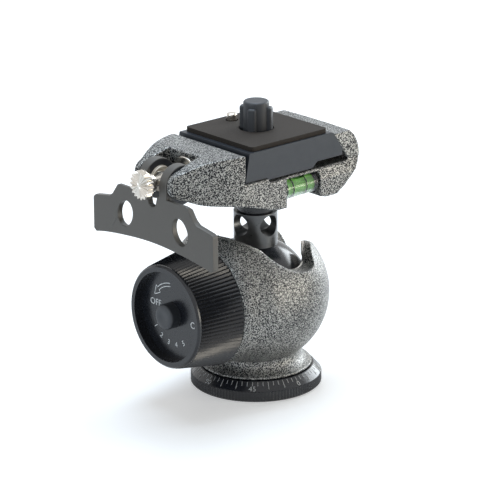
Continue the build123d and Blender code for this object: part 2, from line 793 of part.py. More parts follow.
with BuildPart() as clamp_body:
    # Arms and side blocks: side outline cut to the tapering plan outline.
    with BuildSketch(Plane.XZ):
        with BuildLine():
            tip = ThreePointArc(
                (arm_tip_x, pivot_z + arm_tip_radius),
                (arm_tip_x - arm_tip_radius, pivot_z),
                (arm_tip_x, pivot_z - arm_tip_radius),
            )
            under = Spline(
                tip @ 1,
                (arm_tip_x + 5.2, groove_floor - 4.2),
                (-32.7, groove_floor - 6.9),
                (-24, groove_floor - 8.6),
                (-12.8, casting_bottom + 1.2),
                tangents=((1, -0.55), (1, -0.3)),
            )
            Polyline(
                under @ 1,
                (-7.5, casting_bottom),
                (block_end_x, casting_bottom),
                (block_end_x, clamp_top),
                (-27, clamp_top),
            )
            Spline(
                (-27, clamp_top),
                (-36, clamp_top - 0.1),
                (arm_tip_x + 6.5, clamp_top - 1.6),
                tip @ 0,
                tangents=((-1, 0), (-1, -0.45)),
            )
        make_face()
    extrude(amount=block_half + 1, both=True)
    with BuildSketch(Plane.XY.offset(casting_bottom - 1)):
        with BuildLine():
            side = Spline(
                (-22, block_half),
                (-30, block_half - 1.2),
                (-38, block_half - 3.7),
                (pivot_x + 5, block_half - 6.7),
                (pivot_x, block_half - 8.9),
                (pivot_x - 6, block_half - 11.3),
                tangents=((-1, 0), (-1, -0.5)),
            )
            Polyline(
                side @ 1,
                (pivot_x - 8, block_half - 13.3),
                (pivot_x - 8, 0),
                (block_end_x, 0),
                (block_end_x, block_half),
                side @ 0,
            )
        make_face()
        mirror(about=Plane.XZ)
    extrude(amount=clamp_top - casting_bottom + 2, mode=Mode.INTERSECT)
    # Far jaw, bulging at the middle.
    for side_y, bulge in ((-jaw_half, 0), (0, 1), (jaw_half, 0)):
        with BuildSketch(Plane.XZ.offset(side_y)):
            with BuildLine():
                Polyline(
                    (block_end_x, casting_bottom),
                    *((x + extra * bulge, groove_floor + rise) for x, extra, rise in far_jaw),
                    (plate_right_x, clamp_top - jaw_rim_drop),
                    (block_end_x, clamp_top - jaw_rim_drop),
                    close=True,
                )
            make_face()
    loft()
    # Sloping shoulders over both ends of the far jaw.
    with BuildSketch(Plane.YZ.offset(block_end_x)):
        with BuildLine():
            Polyline(
                (jaw_half, shoulder_height),
                (jaw_half - shoulder_slope, groove_floor),
                (jaw_half - shoulder_slope - shoulder_lean, clamp_top + 1),
                (jaw_half + 3, clamp_top + 1),
                (jaw_half + 3, shoulder_height),
                close=True,
            )
        make_face()
        mirror(about=Plane.YZ)
    extrude(amount=shoulder_run, mode=Mode.SUBTRACT)
    # Boss round the stem.
    with BuildSketch(Plane.XY.offset(collar_top)):
        Circle(boss_radius)
    extrude(amount=boss_height)
    # Channel of the camera plate, open along Y.
    with BuildSketch(Plane.XZ):
        with BuildLine():
            Polyline(
                (channel_wall_x - 0.4, ledge_height),
                (ledge_end_x, ledge_height),
                (ledge_end_x + 0.8, groove_floor),
                (channel_right_x + right_lean * (plate_foot_top - groove_floor) - 1, groove_floor),
                (channel_right_x + right_lean * (plate_foot_top - groove_floor - 1), groove_floor + 1),
                (channel_right_x - right_lean * (clamp_top + 1 - plate_foot_top), clamp_top + 1),
                (channel_wall_x, clamp_top + 1),
                (channel_wall_x, ledge_height + 3),
                close=True,
            )
        make_face()
    extrude(amount=block_half + 5, both=True, mode=Mode.SUBTRACT)
    # Slot of the lever between the arms.
    with BuildSketch(Plane.XY.offset(casting_bottom - 1)):
        with Locations((slot_end_x, 0)):
            Rectangle(block_half + cut_margin, 2 * slot_half, align=(Align.MAX, Align.CENTER))
    extrude(amount=clamp_top - casting_bottom + 2, mode=Mode.SUBTRACT)
    # Barrel bore, blind in both arms.
    with BuildSketch(Plane.XZ):
        with Locations((pivot_x, pivot_z)):
            Circle(barrel_radius + run_gap)
    extrude(amount=barrel_half + part_gap, both=True, mode=Mode.SUBTRACT)
    # Seat of the cam washer, pocket and stem bore of the pressure jaw.
    with BuildSketch(pivot_plane.offset(-cam_washer_seat_x)):
        Circle(cam_washer_radius + run_gap)
    extrude(amount=cam_washer_seat_x - slot_end_x + 1, mode=Mode.SUBTRACT)
    with BuildSketch(Plane.XY.offset(jaw_bottom - part_gap)):
        with Locations((pocket_back_x, 0)):
            Rectangle(pocket_depth, 2 * pocket_half, align=(Align.MIN, Align.CENTER))
    extrude(amount=jaw_top - jaw_bottom + 2 * part_gap, mode=Mode.SUBTRACT)
    with BuildSketch(pivot_plane.offset(-pocket_back_x - 1)):
        Circle(jaw_stem_radius + run_gap)
    extrude(amount=pocket_back_x - slot_end_x + 2, mode=Mode.SUBTRACT)
    # Stem bore and nut pocket.
    with BuildSketch(Plane.XY.offset(collar_top)):
        Circle(top_stud_radius)
    extrude(amount=boss_floor - collar_top + 1, mode=Mode.SUBTRACT)
    with BuildSketch(Plane.XY.offset(boss_floor)):
        Circle(nut_pocket_radius)
    extrude(amount=clamp_top - boss_floor, mode=Mode.SUBTRACT)
    # Recess and cradle of the spirit level.
    with BuildSketch(Plane.XY.offset(casting_bottom - 2)):
        with Locations((block_end_x, -recess_wall)):
            Rectangle(recess_end_x - block_end_x, block_half + 2 - recess_wall, align=(Align.MIN, Align.MAX))
    extrude(amount=recess_top - casting_bottom + 2, mode=Mode.SUBTRACT)
    with BuildSketch(Plane.YZ.offset(block_end_x)):
        with Locations((vial_y, vial_z)):
            Circle(vial_radius)
    extrude(amount=recess_end_x - block_end_x, mode=Mode.SUBTRACT)

with BuildPart() as cam_washer:
    with BuildSketch(pivot_plane.offset(-cam_washer_seat_x)):
        Circle(cam_washer_radius)
        Circle(jaw_stem_radius + part_gap, mode=Mode.SUBTRACT)
    extrude(amount=cam_washer_seat_x - cam_washer_x)
    fillet(cam_washer.edges().filter_by(GeomType.CIRCLE).sort_by(Axis.X)[0], cam_washer_rounding)

# ==================== spirit level ====================

with BuildPart() as vial_tube:
    with BuildSketch(Plane.YZ.offset(block_end_x)):
        with Locations((vial_y, vial_z)):
            Circle(vial_radius)
            Circle(vial_bore, mode=Mode.SUBTRACT)
    extrude(amount=vial_end_x - block_end_x)

with BuildPart() as vial_caps:
    for cap_x in (block_end_x, vial_end_x - vial_cap_length):
        with BuildSketch(Plane.YZ.offset(cap_x)):
            with Locations((vial_y, vial_z)):
                Circle(vial_bore)
        extrude(amount=vial_cap_length)

with BuildPart() as vial_fluid:
    with BuildSketch(Plane.YZ.offset(block_end_x + vial_cap_length)):
        with Locations((vial_y, vial_z)):
            Circle(vial_bore)
    extrude(amount=vial_end_x - block_end_x - 2 * vial_cap_length)
    # Bubble: a lens-shaped void at the top of the fluid.
    with BuildSketch(Plane.XZ.offset(-vial_y)):
        with Locations(((block_end_x + vial_end_x) / 2, vial_z + vial_bore)):
            Ellipse(bubble_length / 2, bubble_depth)
    extrude(amount=bubble_half, both=True, mode=Mode.SUBTRACT)

# ==================== camera plate ====================

with BuildPart() as camera_plate:
    with BuildSketch(Plane.XZ) as camera_plate_profile:
        with BuildLine():
            Polyline(
                (tongue_left_x, plate_bottom),
                (tongue_right_x, plate_bottom),
                (tongue_right_x + tongue_slope, plate_right_bottom),
                (plate_right_foot_x, plate_right_bottom),
                (plate_right_foot_x, plate_foot_top),
                (plate_right_x, plate_top),
                (plate_left_x, plate_top),
                (plate_left_foot_x, plate_left_bottom),
                (tongue_left_x - tongue_draft, plate_left_bottom),
                close=True,
            )
        make_face()
        fillet(camera_plate_profile.vertices().group_by(Axis.Y)[-1].sort_by(Axis.X)[-1], plate_corner)
    extrude(amount=plate_half, both=True)
    with BuildSketch(Plane.XY.offset(plate_bottom)):
        with Locations((screw_x, 0)):
            Circle(screw_pocket_radius)
    extrude(amount=screw_pocket_top - plate_bottom, mode=Mode.SUBTRACT)
    with BuildSketch(Plane.XY.offset(plate_bottom)):
        with Locations((screw_x, 0)):
            Circle(screw_radius + part_gap)
    extrude(amount=plate_top - plate_bottom, mode=Mode.SUBTRACT)
    with BuildSketch(Plane.XY.offset(plate_bottom)):
        with Locations((screw_x, pin_y)):
            Circle(pin_flange_radius + pin_chamber_gap)
    extrude(amount=pin_chamber_top - plate_bottom, mode=Mode.SUBTRACT)
    with BuildSketch(Plane.XY.offset(plate_bottom)):
        with Locations((screw_x, pin_y)):
            Circle(pin_radius + run_gap)
    extrude(amount=plate_top - plate_bottom, mode=Mode.SUBTRACT)

with BuildPart() as plate_pad:
    with BuildSketch(Plane.XY.offset(plate_top)):
        with Locations((screw_x, 0)):
            RectangleRounded(2 * pad_half, 2 * pad_half, pad_corner)
            Circle(pad_hole_radius, mode=Mode.SUBTRACT)
        with Locations((screw_x, pin_y)):
            Circle(pin_radius + pad_pin_gap, mode=Mode.SUBTRACT)
    extrude(amount=pad_top - plate_top)

with BuildPart() as camera_screw:
    with BuildSketch(Plane.XY.offset(screw_head_bottom)):
        with Locations((screw_x, 0)):
            Circle(screw_head_radius)
    extrude(amount=screw_head_top - screw_head_bottom)
    with BuildSketch(Plane.XY.offset(screw_head_bottom)):
        with Locations((screw_x, 0)):
            Rectangle(2 * screw_head_radius, screw_slot_width)
    extrude(amount=screw_slot_depth, mode=Mode.SUBTRACT)
    with BuildSketch(Plane.XY.offset(screw_head_top)):
        with Locations((screw_x, 0)):
            Circle(screw_radius)
    extrude(amount=screw_top - screw_head_top)
    chamfer(camera_screw.edges().group_by(Axis.Z)[-1], screw_tip_chamfer)

with BuildPart() as screw_clip:
    with BuildSketch(Plane.XY.offset(clip_bottom)):
        with Locations((screw_x, 0)):
            Circle(screw_pocket_radius)
            Circle(clip_inner, mode=Mode.SUBTRACT)
            with Locations((0, -screw_pocket_radius)):
                Rectangle(clip_opening, clip_opening_length, mode=Mode.SUBTRACT)
    extrude(amount=clip_top - clip_bottom)

with BuildPart() as screw_cap:
    # Grip lobes with rounded corners and tops.
    with BuildSketch(Plane.XY.offset(cap_base)):
        with Locations((screw_x, 0)):
            with PolarLocations(cap_lobe_radius / 2, cap_lobes, start_angle=cap_lobe_angle):
                Rectangle(cap_lobe_radius, cap_lobe_width)
    extrude(amount=cap_lobe_top - cap_base)
    cap_middle = Vector(screw_x, 0, (cap_base + cap_lobe_top) / 2)
    upright_edges = screw_cap.edges().filter_by(Axis.Z)
    fillet([edge for edge in upright_edges if (edge.center() - cap_middle).length > cap_body_radius], cap_rounding)
    fillet(screw_cap.edges().group_by(Axis.Z)[-1], cap_rounding)
    with BuildSketch(Plane.XY.offset(cap_base)):
        with Locations((screw_x, 0)):
            Circle(cap_body_radius)
    extrude(amount=cap_top - cap_base)
    fillet(screw_cap.edges().group_by(Axis.Z)[-1], cap_rounding)
    with BuildSketch(Plane.XY.offset(cap_base)):
        with Locations((screw_x, 0)):
            Circle(screw_radius + run_gap)
    extrude(amount=cap_bore_top - cap_base, mode=Mode.SUBTRACT)

with BuildPart() as index_pin:
    with BuildSketch(Plane.XY.offset(pin_flange_bottom)):
        with Locations((screw_x, pin_y)):
            Circle(pin_flange_radius)
    extrude(amount=pin_flange_top - pin_flange_bottom)
    with BuildSketch(Plane.XY.offset(pin_flange_top)):
        with Locations((screw_x, pin_y)):
            Circle(pin_radius)
    extrude(amount=pin_top - pin_flange_top)
    fillet(index_pin.edges().group_by(Axis.Z)[-1], pin_rounding)

with BuildPart() as pin_plug:
    with BuildSketch(Plane.XY.offset(plate_bottom)):
        with Locations((screw_x, pin_y)):
            Circle(pin_flange_radius + pin_chamber_gap)
    extrude(amount=plug_top - plate_bottom)

with BuildPart() as pin_spring:
    spring_length = pin_flange_bottom - plug_top - 2 * spring_wire
    with BuildLine():
        coil = Helix(
            pitch=spring_length / spring_turns,
            height=spring_length,
            radius=spring_radius,
            center=(screw_x, pin_y, plug_top + spring_wire),
        )
    with BuildSketch(Plane(origin=coil @ 0, z_dir=coil % 0)):
        Circle(spring_wire)
    sweep(is_frenet=True)

# ==================== lever and adjuster ====================

with BuildPart() as clamp_lever:
    with BuildSketch(pivot_plane.offset(-lever_back_x)):
        with BuildLine():
            arch = Spline((0, -26.2), (-21, -27.5), (-37, -30), tangents=((-1, 0), (-1, -0.25)))
            Polyline(
                arch @ 1,
                (-38.4, -28.9),
                (-38.4, -14.7),
                (-37.2, -13.7),
                (-28, -12.1),
                (-25.8, -10.5),
                (-22.4, -lever_drop - 0.4),
                (-21, -lever_drop),
                (-lever_notch_half, -lever_drop),
                (-lever_notch_half + 1.2, -9.8),
                (0, -10.6),
                (0, -26.2),
            )
        make_face()
        with Locations((-17.6, -17.5)):
            Ellipse(4.6, 5.9, rotation=-25, mode=Mode.SUBTRACT)
        mirror(about=Plane.YZ)
    extrude(amount=lever_back_x - lever_front_x)
    # Bevel behind the shoulders, so that they pass the arm tips.
    with BuildSketch(Plane.XZ):
        with BuildLine():
            Polyline(
                (lever_back_x, lever_top - lever_bevel),
                (lever_back_x, lever_top + 0.1),
                (lever_back_x - lever_bevel, lever_top + 0.1),
                close=True,
            )
        make_face()
    extrude(amount=block_half, both=True, mode=Mode.SUBTRACT)
    # Cam cheeks with hub bosses between them.
    for side in (-1, 1):
        with BuildSketch(Plane.XZ.offset(side * (cheek_inner + cheek_outer) / 2)):
            with Locations((cheek_x, cheek_z)):
                Circle(cheek_radius)
            with BuildLine():
                Polyline(
                    (lever_front_x, cheek_z),
                    (lever_front_x, cheek_z - cheek_web),
                    (cheek_x - 1, cheek_z - cheek_web),
                    (cheek_x - 1, cheek_z),
                    close=True,
                )
            make_face()
        extrude(amount=(cheek_outer - cheek_inner) / 2, both=True)
        with BuildSketch(Plane.XZ.offset(side * (hub_inner + cheek_inner) / 2)):
            with Locations((cheek_x, cheek_z)):
                Circle(hub_radius)
        extrude(amount=(cheek_inner - hub_inner) / 2, both=True)
    with BuildSketch(Plane.XZ):
        with Locations((pivot_x, pivot_z)):
            Circle(barrel_radius)
    extrude(amount=cheek_outer, both=True, mode=Mode.SUBTRACT)

with BuildPart() as barrel_nut:
    with BuildSketch(Plane.XZ):
        with Locations((pivot_x, pivot_z)):
            Circle(barrel_radius)
    extrude(amount=barrel_half, both=True)
    with BuildSketch(pivot_plane.offset(-pivot_x)):
        Circle(adjuster_radius + run_gap)
    extrude(amount=barrel_radius + 1, both=True, mode=Mode.SUBTRACT)

with BuildPart() as adjuster_screw:
    with BuildSketch(pivot_plane.offset(-adjuster_tip_x)):
        Circle(adjuster_radius)
    extrude(amount=adjuster_tip_x - star_back_x)
    fillet(adjuster_screw.edges().sort_by(Axis.X)[-1], adjuster_rounding)
    with BuildSketch(pivot_plane.offset(-hub_end_x)):
        Circle(star_neck_radius)
    with BuildSketch(pivot_plane.offset(-star_back_x)):
        Circle(star_shoulder_radius)
    loft()
    with BuildSketch(pivot_plane.offset(-star_back_x)):
        with BuildLine():
            Polyline(*star(star_radius, star_radius - star_groove, star_rays), close=True)
        make_face()
    extrude(amount=star_back_x - star_front_x)

with BuildPart() as pressure_jaw:
    with BuildSketch(Plane.XZ):
        with BuildLine():
            Polyline(
                (jaw_back_x, jaw_bottom),
                (jaw_face_x - left_lean * (plate_left_bottom - jaw_bottom), jaw_bottom),
                (jaw_face_x + left_lean * (jaw_top - plate_left_bottom), jaw_top),
                (jaw_back_x, jaw_top),
                close=True,
            )
        make_face()
    extrude(amount=jaw_face_half, both=True)
    with BuildSketch(pivot_plane.offset(-jaw_back_x)):
        Circle(jaw_stem_radius)
    extrude(amount=jaw_back_x - jaw_stem_end_x)

# ==================== files ====================

pieces = {
    "base_disc": base_disc,
    "thread_bush": thread_bush,
    "pan_axle": pan_axle,
    "base_screws": base_screws,
    "housing": housing,
    "pan_washer": pan_washer,
    "lock_bush": lock_bush,
    "ball_lock_knob": ball_lock_knob,
    "lock_screw": lock_screw,
    "knob_screw": knob_screw,
    "knob_cap": knob_cap,
    "lock_piston": lock_piston,
    "piston_pad": piston_pad,
    "pan_lock_screw": pan_lock_screw,
    "pan_lock_knob": pan_lock_knob,
    "pan_shoe": pan_shoe,
    "ball_seat": ball_seat,
    "ball": ball,
    "neck": neck,
    "neck_collar": neck_collar,
    "platform_washer": platform_washer,
    "platform_nut": platform_nut,
    "clamp_body": clamp_body,
    "cam_washer": cam_washer,
    "vial_tube": vial_tube,
    "vial_caps": vial_caps,
    "vial_fluid": vial_fluid,
    "camera_plate": camera_plate,
    "plate_pad": plate_pad,
    "camera_screw": camera_screw,
    "screw_clip": screw_clip,
    "screw_cap": screw_cap,
    "index_pin": index_pin,
    "pin_plug": pin_plug,
    "pin_spring": pin_spring,
    "clamp_lever": clamp_lever,
    "barrel_nut": barrel_nut,
    "adjuster_screw": adjuster_screw,
    "pressure_jaw": pressure_jaw,
}
for name, piece in pieces.items():
    piece.part.label = name
    export_step(piece.part, f"parts/{name}.step")
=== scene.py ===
import math

import bmesh
import bpy
from mathutils import Matrix, Vector


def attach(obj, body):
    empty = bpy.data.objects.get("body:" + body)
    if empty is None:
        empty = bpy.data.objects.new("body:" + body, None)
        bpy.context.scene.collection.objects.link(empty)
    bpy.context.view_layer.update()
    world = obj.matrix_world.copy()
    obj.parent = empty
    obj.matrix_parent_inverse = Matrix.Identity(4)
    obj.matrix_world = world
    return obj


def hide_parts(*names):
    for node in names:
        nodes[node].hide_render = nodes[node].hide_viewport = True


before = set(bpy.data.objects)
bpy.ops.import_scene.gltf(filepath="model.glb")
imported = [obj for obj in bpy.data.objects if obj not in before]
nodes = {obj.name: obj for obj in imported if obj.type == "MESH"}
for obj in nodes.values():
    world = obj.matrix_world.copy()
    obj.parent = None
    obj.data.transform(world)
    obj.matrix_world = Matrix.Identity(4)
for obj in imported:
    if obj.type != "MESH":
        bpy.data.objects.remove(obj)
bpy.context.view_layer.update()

# Sizes and places are in millimetres, unless a comment says metres.
MM = 0.001
BALL_Z = 40.8           # ball centre and ball-lock axis
PIVOT_Z = 101.1         # lever pivot and adjuster axis
VIAL_Y, VIAL_Z = -19.0, 91.1
PRINT_HALF = 0.03       # half the thickness of printed marks


# ---------------------------------------------------------------- materials

def new_material(name):
    mat = bpy.data.materials.new(name)
    mat.use_nodes = True
    tree = mat.node_tree
    return mat, tree, tree.nodes["Principled BSDF"]


def add(tree, kind, **settings):
    node = tree.nodes.new(kind)
    for key, value in settings.items():
        setattr(node, key, value)
    return node


def link(tree, source, target):
    tree.links.new(source, target)


def coords(tree):
    return add(tree, "ShaderNodeTexCoord").outputs["Object"]


def noise(tree, vector, scale, detail=2.0, roughness=0.5, distortion=0.0):
    node = add(tree, "ShaderNodeTexNoise")
    node.inputs["Scale"].default_value = scale
    node.inputs["Detail"].default_value = detail
    node.inputs["Roughness"].default_value = roughness
    node.inputs["Distortion"].default_value = distortion
    link(tree, vector, node.inputs["Vector"])
    return node.outputs["Fac"]


def ramp(tree, fac, stops, interpolation="LINEAR"):
    node = add(tree, "ShaderNodeValToRGB")
    node.color_ramp.interpolation = interpolation
    elements = node.color_ramp.elements
    while len(elements) < len(stops):
        elements.new(0.5)
    for element, (place, colour) in zip(elements, stops):
        element.position = place
        element.color = (*colour, 1.0) if len(colour) == 3 else (colour[0],) * 3 + (1.0,)
    link(tree, fac, node.inputs["Fac"])
    return node.outputs["Color"]


def math_node(tree, operation, a, b=None, c=None):
    node = add(tree, "ShaderNodeMath", operation=operation)
    for socket, value in zip(node.inputs, (a, b, c)):
        if value is None:
            continue
        if isinstance(value, (int, float)):
            socket.default_value = value
        else:
            link(tree, value, socket)
    return node.outputs[0]


def mix(tree, fac, a, b):
    node = add(tree, "ShaderNodeMix", data_type="RGBA")
    if isinstance(fac, (int, float)):
        node.inputs[0].default_value = fac
    else:
        link(tree, fac, node.inputs[0])
    for socket, value in ((node.inputs[6], a), (node.inputs[7], b)):
        if isinstance(value, tuple):
            socket.default_value = (*value, 1.0)
        else:
            link(tree, value, socket)
    return node.outputs[2]


def bump(tree, bsdf, height, strength, distance):
    node = add(tree, "ShaderNodeBump")
    node.inputs["Strength"].default_value = strength
    node.inputs["Distance"].default_value = distance
    link(tree, height, node.inputs["Height"])
    link(tree, node.outputs["Normal"], bsdf.inputs["Normal"])


def separate(tree, vector):
    parts = add(tree, "ShaderNodeSeparateXYZ")
    link(tree, vector, parts.inputs[0])
    return parts.outputs


def distance_from(tree, a, b, a_centre, b_centre):
    """Distance of the coordinates a and b from a line through (a_centre, b_centre), in metres."""
    da = math_node(tree, "SUBTRACT", a, a_centre)
    db = math_node(tree, "SUBTRACT", b, b_centre)
    da2 = math_node(tree, "MULTIPLY", da, da)
    db2 = math_node(tree, "MULTIPLY", db, db)
    return math_node(tree, "SQRT", math_node(tree, "ADD", da2, db2))


def cast_paint(name, size, rim_axis=None):
    """Black and silver crackle paint on a casting.

    rim_axis, the x, y and radius in metres of an upright bore, leaves its mouth bare metal.
    """
    drift_scale, drift_reach = 60, 0.06
    dark = (0.004, 0.005, 0.008)
    silver_low, silver_high = (0.32, 0.32, 0.30), (0.68, 0.675, 0.64)
    silver_metallic = 0.35
    bare_colour, bare_rough = (0.62, 0.60, 0.57), (0.22, 0.22, 0.22)
    mouth_z = BALL_Z + 2

    mat, tree, bsdf = new_material(name)
    vector = coords(tree)
    worms = noise(tree, vector, size, 1.8, 0.5, 0.6)
    drift = noise(tree, vector, drift_scale, 2.0)
    shift = math_node(tree, "MULTIPLY_ADD", drift, drift_reach, -drift_reach / 2)
    worms = math_node(tree, "ADD", worms, shift)
    mask = ramp(tree, worms, ((0.505, (0.0,)), (0.545, (1.0,))), "EASE")
    grain = noise(tree, vector, 4200, 2.0)
    colour = mix(tree, mask, dark, mix(tree, grain, silver_low, silver_high))
    rough = ramp(tree, worms, ((0.4, (0.30,)), (0.6, (0.42,))))
    metal = math_node(tree, "MULTIPLY", mask, silver_metallic)
    if rim_axis:
        x, y, radius = rim_axis
        place = separate(tree, vector)
        distance = distance_from(tree, place["X"], place["Y"], x, y)
        inside = math_node(tree, "LESS_THAN", distance, radius)
        high = math_node(tree, "GREATER_THAN", place["Z"], mouth_z * MM)
        bare = math_node(tree, "MULTIPLY", inside, high)
        colour = mix(tree, bare, colour, bare_colour)
        metal = math_node(tree, "MAXIMUM", metal, bare)
        rough = mix(tree, bare, rough, bare_rough)
    link(tree, colour, bsdf.inputs["Base Color"])
    link(tree, rough, bsdf.inputs["Roughness"])
    link(tree, metal, bsdf.inputs["Metallic"])
    bsdf.inputs["Specular IOR Level"].default_value = 0.32
    height = math_node(tree, "ADD", worms, math_node(tree, "MULTIPLY", grain, 0.15))
    bump(tree, bsdf, height, 0.6, 0.00018)
    return mat


def satin(
    name, low, high, rough, metallic=0.0, scale=300, grain=3500, depth=0.00003, specular=0.5
):
    """Satin anodised, moulded or painted surface with slight blotches and fine grain."""
    mat, tree, bsdf = new_material(name)
    vector = coords(tree)
    blotch = noise(tree, vector, scale, 3.0, 0.6)
    fine = noise(tree, vector, grain, 2.0)
    link(tree, mix(tree, blotch, low, high), bsdf.inputs["Base Color"])
    link(tree, ramp(tree, blotch, ((0.3, (rough[0],)), (0.7, (rough[1],)))), bsdf.inputs["Roughness"])
    bsdf.inputs["Metallic"].default_value = metallic
    bsdf.inputs["Specular IOR Level"].default_value = specular
    bump(tree, bsdf, fine, 0.4, depth)
    return mat


def lever_finish(name):
    """Warm grey plate, with painted shade darkening the cam cheeks' faces to blue-black inside the
    casting's slot. Their rims are left in the plate's grey, and bare hubs sit between them.
    """
    cheek_x, cheek_z = -48.6, 100.2
    cheek_end_x = -54.2
    cheek_radius = 8.2
    hub_half_width = 4.75
    hub_radius = 5.6
    hub_colour = (0.52, 0.48, 0.41)

    mat, tree, bsdf = new_material(name)
    vector = coords(tree)
    blotch = noise(tree, vector, 900, 3.0, 0.6)
    fine = noise(tree, vector, 3000, 2.0)
    place = separate(tree, vector)
    radius = distance_from(tree, place["X"], place["Z"], cheek_x * MM, cheek_z * MM)
    # Mask for the painted shade: the cheek faces within cheek_radius of the pivot.
    cheek = math_node(tree, "GREATER_THAN", place["X"], cheek_end_x * MM)
    face = math_node(tree, "MULTIPLY", cheek, math_node(tree, "LESS_THAN", radius, cheek_radius * MM))
    side = math_node(tree, "ABSOLUTE", place["Y"])
    hub = math_node(tree, "LESS_THAN", side, hub_half_width * MM)
    hub = math_node(tree, "MULTIPLY", hub, math_node(tree, "LESS_THAN", radius, hub_radius * MM))
    plate = mix(tree, blotch, (0.090, 0.085, 0.076), (0.122, 0.115, 0.104))
    # Painted shade: the blue-black that stands in for the shadow on the cheek faces inside the casting's
    # slot.
    dark = mix(tree, blotch, (0.022, 0.025, 0.031), (0.034, 0.037, 0.044))
    colour = mix(tree, face, plate, dark)
    colour = mix(tree, hub, colour, hub_colour)
    link(tree, colour, bsdf.inputs["Base Color"])
    link(tree, math_node(tree, "MULTIPLY_ADD", hub, 0.7, 0.2), bsdf.inputs["Metallic"])
    link(tree, ramp(tree, blotch, ((0.3, (0.38,)), (0.7, (0.52,)))), bsdf.inputs["Roughness"])
    bump(tree, bsdf, fine, 0.4, 0.00006)
    return mat


def glassy(name, colour, transmission, rough, ior):
    """Clear or tinted glass or fluid with slightly uneven roughness."""
    mat, tree, bsdf = new_material(name)
    vector = coords(tree)
    wave = noise(tree, vector, 400, 1.0)
    bsdf.inputs["Transmission Weight"].default_value = transmission
    bsdf.inputs["IOR"].default_value = ior
    link(tree, ramp(tree, wave, ((0.3, (rough,)), (0.7, (rough + 0.03,)))), bsdf.inputs["Roughness"])
    link(tree, mix(tree, wave, colour, tuple(c * 0.9 for c in colour)), bsdf.inputs["Base Color"])
    return mat


CAST = cast_paint("cast_crackle", 1950)
CAST_RIM = cast_paint("cast_crackle_rim", 2350, (-3 * MM, 0.0, 23.05 * MM))
BLACK = satin("black_anodised", (0.006, 0.007, 0.010), (0.012, 0.014, 0.019), (0.20, 0.30))
PLATE = satin("plate_anodised", (0.021, 0.026, 0.034), (0.032, 0.038, 0.047), (0.30, 0.42), 0.3)
PAD = satin(
    "pad_rubber", (0.001, 0.0008, 0.0006), (0.066, 0.054, 0.044), (0.6, 0.85),
    scale=2600, grain=2600, depth=0.0002, specular=0.22
)
LEVER = lever_finish("lever_paint_with_cheek_shade")
NICKEL = satin("nickel", (0.56, 0.53, 0.48), (0.68, 0.65, 0.60), (0.16, 0.26), 1.0)
DARK_STEEL = satin("dark_steel", (0.10, 0.10, 0.10), (0.16, 0.16, 0.155), (0.25, 0.4), 0.9)
NECK = satin("neck_metal", (0.085, 0.088, 0.090), (0.125, 0.128, 0.130), (0.26, 0.36), 0.7)
BALL = satin(
    "ball_coat", (0.010, 0.012, 0.018), (0.015, 0.018, 0.025), (0.16, 0.24),
    scale=200, grain=2000, depth=0.00001, specular=0.6
)
CAP = satin(
    "cap_plastic", (0.030, 0.033, 0.038), (0.042, 0.046, 0.052), (0.42, 0.55),
    scale=400, grain=2500, depth=0.00005
)
BRASS = satin("brass", (0.55, 0.38, 0.14), (0.66, 0.47, 0.2), (0.2, 0.35), 1.0)
WHITE = satin("white_plastic", (0.78, 0.78, 0.74), (0.84, 0.84, 0.8), (0.4, 0.5))
PRINT = satin("white_print", (0.86, 0.86, 0.84), (0.94, 0.94, 0.92), (0.5, 0.6))
MARK = satin("pale_mark", (0.50, 0.50, 0.49), (0.64, 0.64, 0.62), (0.4, 0.55))
GLASS = glassy("vial_glass", (0.93, 0.98, 0.94), 1.0, 0.02, 1.45)
FLUID = glassy("vial_fluid", (0.42, 0.95, 0.24), 0.10, 0.15, 1.33)

# Nodes that are not named here are nickel.
by_node = {
    "housing": CAST_RIM,
    "clamp_body": CAST,
    "base_disc": BLACK,
    "ball_lock_knob": BLACK,
    "knob_cap": CAP,
    "pan_lock_knob": BLACK,
    "neck_collar": BLACK,
    "camera_plate": PLATE,
    "pressure_jaw": PLATE,
    "plate_pad": PAD,
    "clamp_lever": LEVER,
    "neck": NECK,
    "ball": BALL,
    "screw_cap": CAP,
    "pan_axle": DARK_STEEL,
    "knob_screw": DARK_STEEL,
    "pin_plug": DARK_STEEL,
    "screw_clip": DARK_STEEL,
    "lock_bush": BRASS,
    "pan_shoe": BRASS,
    "pan_washer": WHITE,
    "ball_seat": WHITE,
    "piston_pad": WHITE,
    "vial_tube": GLASS,
    "vial_fluid": FLUID,
    "vial_caps": BLACK,
}
for name, obj in nodes.items():
    obj.data.materials.clear()
    obj.data.materials.append(by_node.get(name, NICKEL))


# ---------------------------------------------------------------- casting and edge shapes

def weld(obj):
    modifier = obj.modifiers.new("weld", "WELD")
    modifier.merge_threshold = 1e-6


def cast_edges(obj, rounds, voxel=0.3):
    """Rounds a casting's edges: an even skin, relaxed a little."""
    weld(obj)
    remesh = obj.modifiers.new("skin", "REMESH")
    remesh.mode = "VOXEL"
    remesh.voxel_size = voxel * MM
    remesh.use_smooth_shade = True
    relax = obj.modifiers.new("relax", "SMOOTH")
    relax.factor = 0.5
    relax.iterations = rounds


def turned_edges(obj, width):
    """Breaks the edges of a machined piece that are sharper than sharp_angle."""
    sharp_angle = 32
    weld(obj)
    modifier = obj.modifiers.new("break", "BEVEL")
    modifier.width = width * MM
    modifier.segments = 2
    modifier.limit_method = "ANGLE"
    modifier.angle_limit = math.radians(sharp_angle)
    even = obj.modifiers.new("even", "WEIGHTED_NORMAL")
    even.weight = 100
    obj.data.shade_smooth()


cast_edges(nodes["housing"], 8)
cast_edges(nodes["clamp_body"], 14)
for name, width in (
    ("camera_plate", 0.35),
    ("plate_pad", 0.25),
    ("clamp_lever", 0.35),
    ("pressure_jaw", 0.8),
    ("neck", 0.12),
    ("neck_collar", 0.3),
    ("knob_cap", 0.2),
    ("platform_nut", 0.3),
    ("thread_bush", 0.2),
):
    turned_edges(nodes[name], width)


# ---------------------------------------------------------------- new pieces

